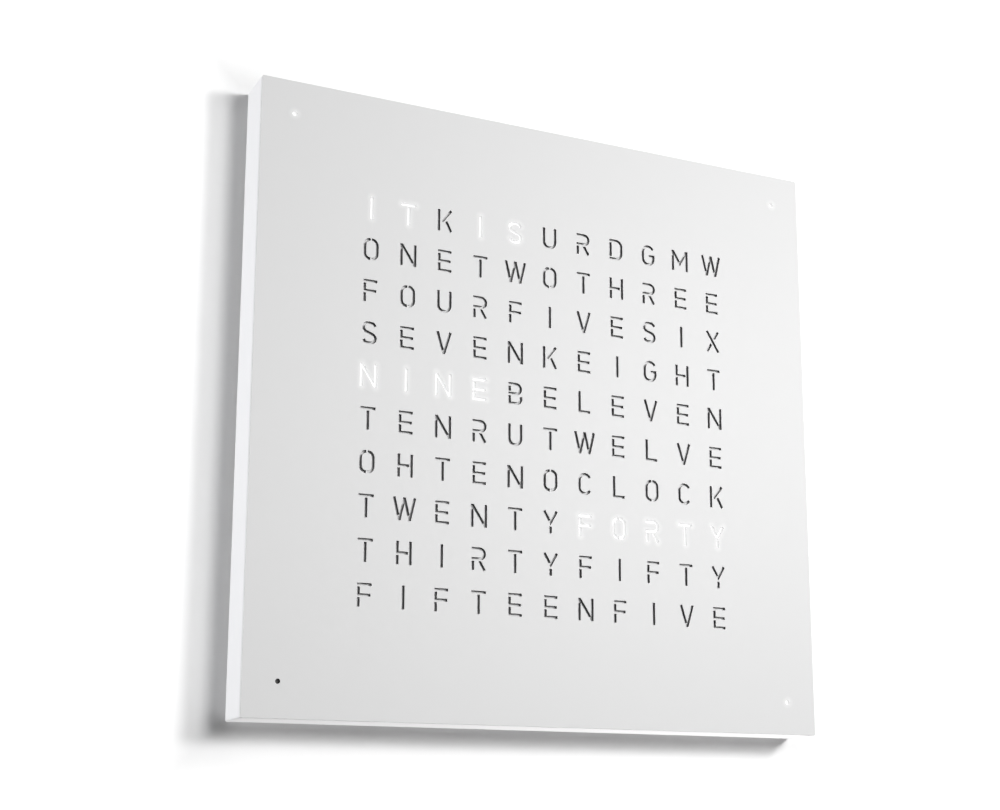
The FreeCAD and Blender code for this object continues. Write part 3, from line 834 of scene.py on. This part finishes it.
def light_grid():
    """Moulded grid with the rims of its cells softened on both faces."""
    bm = node_shape("light_grid")
    ends = [end(vert.co.y for vert in bm.verts) for end in (min, max)]
    round_off(bm, [edge for edge in sharp_edges(bm)
                   if any(lies_at(edge, depth) for depth in ends)], 0.2)
    piece("letter_grid", bm, [grid_plastic], "grid_white", "light_grid")


def studs():
    """Welded studs with a relief near the plate and chamfered tips."""
    bm = bmesh.new()
    low, high = (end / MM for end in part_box("plate_studs"))
    radius, neck, tip = 2.5, 2.3, 1.7
    turn(bm, [(0, low.y), (radius, low.y), (radius, low.y + 0.9), (neck, low.y + 1.1),
              (neck, low.y + 1.7), (radius, low.y + 1.9), (radius, high.y - 0.8), (tip, high.y),
              (0, high.y)])
    repeat(bm, [(x * CORNER_PLACE, CORNER_PLACE) for x in (-1, 1)])
    smoothed(piece("studs", bm, [zinc], "zinc_steel", "plate_studs", body="front_cover"))


def magnets():
    """Nickel-plated block magnets with rounded edges."""
    softened("rim_magnets", 0.5, "block_magnets", magnet_nickel, "magnet_nickel", steps=3)


def bumpers():
    """Soft square feet, rounded more where they meet the wall."""
    bm = node_shape("wall_bumpers")
    round_off(bm, [edge for edge in bm.edges if runs_back(edge)], 1.5, steps=4)
    wall = max(vert.co.y for vert in bm.verts)
    round_off(bm, [edge for edge in bm.edges if lies_at(edge, wall)], 0.9, steps=3)
    piece("rubber_feet", bm, [bumper_rubber], "bumper_rubber", "wall_bumpers")


def screws():
    """Countersunk screws with a cross recess and a thread."""
    bm = bmesh.new()
    low, high = (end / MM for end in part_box("panel_screws"))
    head, shank, thread_pitch, thread_depth = 3.2, 1.5, 0.9, 0.35
    arm, width, recess, taper = 1.75, 0.42, 1.3, 0.62        # of the cross recess
    profile = [(0, low.y), (0.7, low.y), (shank - 0.1, low.y + 1.2)]
    y = low.y + 1.6
    while y < high.y - 3.2:
        profile += [(shank, y), (shank - thread_depth, y + thread_pitch / 2)]
        y += thread_pitch
    profile += [(shank, high.y - 2.4), (shank, high.y - 1.8), (head - 0.1, high.y - 0.12),
                (head - 0.12, high.y), (head - 0.5, high.y)]
    turn(bm, profile, 24)
    rim = [edge for edge in bm.edges if len(edge.link_faces) == 1]
    corners = [(width, width), (width, arm), (-width, arm)]
    for _ in range(3):
        corners += [(-z, x) for x, z in corners[-3:]]
    ring = [bm.verts.new((x * MM, high.y * MM, z * MM)) for x, z in corners]
    cross = [bm.edges.new(pair) for pair in zip(ring, ring[1:] + ring[:1])]
    fill(bm, rim + cross, REARWARD)
    fill(bm, drawn_out(bm, cross, lambda vert: Vector(
        (vert.co.x * taper, (high.y - recess) * MM, vert.co.z * taper))), REARWARD)
    bmesh.ops.recalc_face_normals(bm, faces=bm.faces[:])
    repeat(bm, [(x * CORNER_PLACE, z * CORNER_PLACE) for x, z in CORNERS])
    smoothed(piece("cover_screws", bm, [screw_zinc], "zinc_steel", "panel_screws"))


def hanger_plate(side):
    """Stamped plate with a keyhole, its corners rounded and its edges broken."""
    name = side + "_hanger_plate"
    bm = node_shape(name)
    round_corners(bm, 2.0)
    soften(bm, 0.25)
    piece(side + "_hanger", bm, [zinc], "zinc_steel", name)


def button(name):
    """Push button: a cap with broken edges and a shallow dish, on its flange and stem."""
    bm = node_shape(name + "_button")
    top = max(face.calc_center_median().y for face in bm.faces)
    cap = [face for face in bm.faces if face.calc_center_median().y > top - NEAR]
    for margin, depth in ((1.1, 0.12), (0.9, 0.1)):
        sink(bm, cap, REARWARD, margin, depth)
    soften(bm, 0.35, steps=3)
    piece(name + "_cap", bm, [button_plastic], "button_grey", name + "_button", body=name + "_key")


def plunger(name):
    """A switch's plunger with rounded edges."""
    softened(name + "_plunger", 0.3, name + "_pin", black_plastic, "jack_black", name + "_key")


def boards():
    """The two circuit boards with rounded corners."""
    for name, new_name, finish, slot in (
            ("led_board", "light_board", white_board, "board_white"),
            ("control_board", "clock_board", green_board, "board_green")):
        bm = node_shape(name)
        round_corners(bm, 1.5)
        soften(bm, 0.08, steps=1)
        piece(new_name, bm, [finish], slot, name)


def lights():
    """One LED behind each letter and dot: a white case, four terminals and a round lens."""
    bm = bmesh.new()
    low, high = (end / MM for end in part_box("leds"))
    half, foot = 2.5, high.y
    lens_corner, lens_depth = 1.0, 0.45
    terminal_width, terminal_height, terminal_depth = 0.7, 1.1, 0.9
    case = block(bm, 0, 0, 2 * half - 0.5, 2 * half, low.y, foot)
    window = sink(bm, case, FRONTWARD, 0.55, 0.0)
    round_off(bm, list({vert for face in window for vert in face.verts}), lens_corner,
              affect="VERTICES")
    lens = min((face for face in bm.faces
                if face.normal.dot(FRONTWARD) > SAME_WAY and len(face.verts) > 8),
               key=lambda face: face.calc_perimeter())
    sink(bm, [lens], FRONTWARD, 0.3, lens_depth, 1)
    for x, z in CORNERS:
        block(bm, x * (half - terminal_width / 2), z * half / 2, terminal_width,
              terminal_height, foot - terminal_depth, foot, 2)
    repeat(bm, [cell_middle(column, row) for row in range(len(LETTER_ROWS))
                for column in range(len(LETTER_ROWS[0]))]
           + [(x * DOT_PLACE, z * DOT_PLACE) for x, z in CORNERS])
    piece("led_lamps", bm, [led_case, led_glow, tin], "led_lens", "leds")


def sensor():
    """Light sensor with a dark window in its case."""
    bm = node_shape("light_sensor")
    soften(bm, 0.06, steps=1)
    sink(bm, [max(bm.faces, key=lambda face: face.normal.dot(FRONTWARD) * face.calc_area())],
         FRONTWARD, 0.15, 0.05, 1)
    piece("room_light_sensor", bm, [led_case, sensor_glass], "chip_black", "light_sensor")


def chips():
    """Chips with bent leads: one with leads all round, and three with leads on two sides."""
    bm = bmesh.new()
    foot, top = (end.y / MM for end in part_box("controller_chips"))
    lead_room, lead_pitch, lead_width = 1.0, 1.0, 0.4
    lead = ((0.35, 0.7, foot, foot + 0.15),           # foot: in from the tip, length, low, high
            (0.72, 0.14, foot, foot + 0.75),          # upright
            (0.9, 0.5, foot + 0.62, foot + 0.75))     # shoulder
    for x, z, width, height, all_round in CHIPS:
        case_width = width - 2 * lead_room if all_round else width
        case = block(bm, x, z, case_width, height - 2 * lead_room, foot + 0.1, top)
        round_off(bm, edges_of(case), 0.12, steps=1)
        sides = ((0, 1), (0, -1), (1, 0), (-1, 0)) if all_round else ((0, 1), (0, -1))
        for side_x, side_z in sides:
            length = (height if side_x else case_width) - 1.2
            count = int(length / lead_pitch)
            for along in places_across(count, length / count):
                for inward, size, low, high in lead:
                    reach = (width if side_x else height) / 2 - inward
                    if side_x:
                        block(bm, x + side_x * reach, z + along, size, lead_width, low, high, 1)
                    else:
                        block(bm, x + along, z + side_z * reach, lead_width, size, low, high, 1)
    piece("chips", bm, [epoxy, tin], "chip_black", "controller_chips")


def cans():
    """Round capacitors: a can with a rolled groove on a black base."""
    bm = bmesh.new()
    low, high = (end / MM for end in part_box("capacitors"))
    foot, top, radius, can = low.y, high.y, 4.0, 3.9
    turn(bm, [(0, foot), (can, foot), (radius, foot + 0.1), (radius, foot + 1.0),
              (can, foot + 1.1), (0, foot + 1.1)], 40, 1)
    turn(bm, [(0, foot + 1.15), (can - 0.25, foot + 1.15), (can, foot + 1.4), (can, foot + 1.9),
              (can - 0.35, foot + 2.2), (can, foot + 2.5), (can, top - 0.5),
              (can - 0.15, top - 0.15), (can - 0.5, top), (can - 0.9, top - 0.12),
              (0, top - 0.12)], 40)
    repeat(bm, CAN_PLACES)
    smoothed(piece("supply_cans", bm, [aluminium, black_plastic], "can_aluminium", "capacitors"))


def header():
    """Pin header: notched black segments, each with two square pins."""
    bm = bmesh.new()
    low, high = (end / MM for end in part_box("board_header"))
    segments, pin, row = 10, 0.64, 1.27
    pitch = (high.x - low.x) / segments
    z = (low.z + high.z) / 2
    for i in range(segments):
        x = low.x + pitch * (i + 0.5)
        segment = block(bm, x, z, pitch - 0.01, high.z - low.z, low.y + 0.3, high.y - 0.3)
        round_off(bm, [edge for edge in edges_of(segment) if runs_back(edge)], 0.5, steps=1)
        for side in (-1, 1):
            block(bm, x, z + side * row, pin, pin, low.y, high.y, 1)
    piece("pin_header", bm, [black_plastic, gold], "chip_black", "board_header")


def socket():
    """Barrel socket with broken edges."""
    softened("dc_jack", 0.25, "supply_socket", jack_plastic, "jack_black")


def holder():
    """Square cup for the backup cell, with softened edges."""
    softened("cell_holder", 0.3, "backup_holder", black_plastic, "jack_black")


def cell():
    """Backup cell: a can rolled over a seal around a smaller cap."""
    bm = bmesh.new()
    low, high = (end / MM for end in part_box("coin_cell"))
    turn(bm, [(0, low.y), (8.2, low.y), (8.6, low.y + 0.3), (8.8, low.y + 0.35),
              (9.0, low.y + 0.2), (9.7, low.y + 0.25), (10.0, low.y + 0.6), (10.0, high.y - 0.35),
              (9.7, high.y), (0, high.y)], 48)
    repeat(bm, [((low.x + high.x) / 2, (low.z + high.z) / 2)])
    smoothed(piece("backup_cell", bm, [cell_steel], "zinc_steel", "coin_cell"))


def switches():
    """Tactile switches: a black base under a folded metal cover with four rivets."""
    bm = node_shape("switch_bodies")
    top = max(vert.co.y for vert in bm.verts) / MM
    half, cover, rivet_place, rivet = 3.1, 0.3, 2.3, 0.8
    soften(bm, 0.15, steps=1)
    for face in bm.faces:
        if face.calc_center_median().y > (top - cover) * MM:
            face.material_index = 1
    low, high = (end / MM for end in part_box("switch_bodies"))
    z = (low.z + high.z) / 2
    for x in (low.x + half, (low.x + high.x) / 2, high.x - half):
        for side_x, side_z in CORNERS:
            made = block(bm, x + side_x * rivet_place, z + side_z * rivet_place,
                         rivet, rivet, top - 0.2, top + 0.12, 1)
            round_off(bm, edges_of(made), 0.1, steps=1)
    piece("tact_switches", bm, [black_plastic, tin], "switch_black", "switch_bodies")


face_plate()
dress("diffuser_sheet", opal_sheet)
for make in (housing, back_panel, light_grid, studs, magnets, bumpers, screws, boards, lights,
             sensor, chips, cans, header, socket, holder, cell, switches):
    make()
for side in ("left", "right"):
    hanger_plate(side)
for name in ("hour", "minute", "mode"):
    button(name)
    plunger(name)


# ---- Stage, light and camera ----
WALL_REACH = 4.0
FLOOR_Z = -1.3
LIFT_START = 0.231           # from the clock's middle to where painted light starts to turn the stage white
LIFT_WIDTH = 0.1             # over which it does
AMBIENT = 0.07
MIDDLE = (0, 0, 0)
COOL, WARM = (0.98, 0.985, 1.0), (1.0, 0.985, 0.98)
CAMERA_PLACE = (-0.5495, -1.1485, -0.3183)
CAMERA_TURN, CAMERA_TILT, CAMERA_ROLL = -27.45, 12.61, -0.449   # degrees


def flat_stage(name, corners, finish):
    """A flat surface that isn't part of the clock."""
    bm = bmesh.new()
    bm.faces.new([bm.verts.new(corner) for corner in corners])
    meshed(name, bm, [finish])


def stage_finish(name):
    """Pale matt surface, lifted to white away from the clock by painted light.

    The painted light ramps in just outside the clock, so the stage close to it keeps its shadow,
    which fades out with the ramp. Only the camera sees it, and only from its front."""
    finish = Finish(name, (0.9, 0.9, 0.9), 1.0, Specular_IOR_Level=0.0)
    away = (finish.x.size().either(finish.z.size()) - LIFT_START) * (1 / LIFT_WIDTH)
    away = finish.node("ShaderNodeClamp", {}, {"Value": away})["Result"]
    finish.set(Emission_Color=finish.mix(away, BLACK, WHITE), Emission_Strength=1.0)
    ray = finish.node("ShaderNodeLightPath")["Is Camera Ray"]
    behind = finish.node("ShaderNodeNewGeometry")["Backfacing"]
    clear = finish.node("ShaderNodeBsdfTransparent")["BSDF"]
    shown = finish.node("ShaderNodeMixShader", {}, {0: ray * (1 - behind)})
    finish.join(clear, shown.node.inputs[1])
    finish.join(Signal(finish, finish.shader.outputs["BSDF"]), shown.node.inputs[2])
    finish.join(shown["Shader"], finish.tree.nodes["Material Output"].inputs["Surface"])
    return finish.material


def softbox(name, place, target, size, power, color=WHITE, height=None):
    """A soft light that shines from its place to a target: a disc, or a strip with a height."""
    lamp = bpy.data.lights.new(name, "AREA")
    lamp.shape = "RECTANGLE" if height else "DISK"
    lamp.size = size
    if height:
        lamp.size_y = height
    lamp.energy = power
    lamp.color = color
    thing = placed(name, lamp)
    thing.location = place
    thing.rotation_euler = (Vector(target) - Vector(place)).to_track_quat("-Z", "Y").to_euler()
    thing.visible_camera = False


square = [(x * WALL_REACH, z * WALL_REACH) for x, z in ((-1, -1), (1, -1), (1, 1), (-1, 1))]
flat_stage("wall", [(x, 0, z) for x, z in square], stage_finish("wall_white"))
flat_stage("floor", [(x, y, FLOOR_Z) for x, y in square], stage_finish("floor_white"))

world = bpy.data.worlds.new("studio")
bpy.context.scene.world = world
world.use_nodes = True
sky = world.node_tree
background = sky.nodes["Background"]
background.inputs["Color"].default_value = (*WHITE, 1.0)
rays = sky.nodes.new("ShaderNodeLightPath")
seen = sky.nodes.new("ShaderNodeMath")
seen.operation = "MAXIMUM"
sky.links.new(rays.outputs["Is Camera Ray"], seen.inputs[0])
sky.links.new(rays.outputs["Is Glossy Ray"], seen.inputs[1])
level = sky.nodes.new("ShaderNodeMath")
level.operation = "MULTIPLY_ADD"
sky.links.new(seen.outputs[0], level.inputs[0])
level.inputs[1].default_value = 1 - AMBIENT
level.inputs[2].default_value = AMBIENT
sky.links.new(level.outputs[0], background.inputs["Strength"])

softbox("key", (0.78, -3.04, 0.55), MIDDLE, 1.0, 45.0)
softbox("second", (1.0, -1.55, 0.38), MIDDLE, 0.4, 18.5)
softbox("left_skim", (-1.5, -0.085, 0.05), (0, -0.02, 0), 0.05, 11.0, COOL, 0.9)
softbox("left_bounce", (-1.3, 0.7, 0.0), MIDDLE, 1.2, 5.8, COOL)
softbox("low_bounce", (0.7, 0.6, -1.2), MIDDLE, 1.2, 19.0, WARM)
softbox("right_bounce", (1.3, 0.7, 0.0), MIDDLE, 1.2, 8.0)
softbox("high_bounce", (0.0, 0.7, 1.3), MIDDLE, 1.2, 8.0)

camera = placed("camera", bpy.data.cameras.new("camera"))
camera.data.sensor_width = 36.0
camera.data.lens = 62.76
camera.data.shift_x = -0.0844
camera.data.shift_y = 0.0677
camera.matrix_world = (Matrix.Translation(CAMERA_PLACE)
                       @ Matrix.Rotation(math.radians(CAMERA_TURN), 4, "Z")
                       @ Matrix.Rotation(math.radians(90 + CAMERA_TILT), 4, "X")
                       @ Matrix.Rotation(math.radians(CAMERA_ROLL), 4, "Z"))
bpy.context.scene.camera = camera
bpy.context.scene.view_settings.view_transform = "Standard"
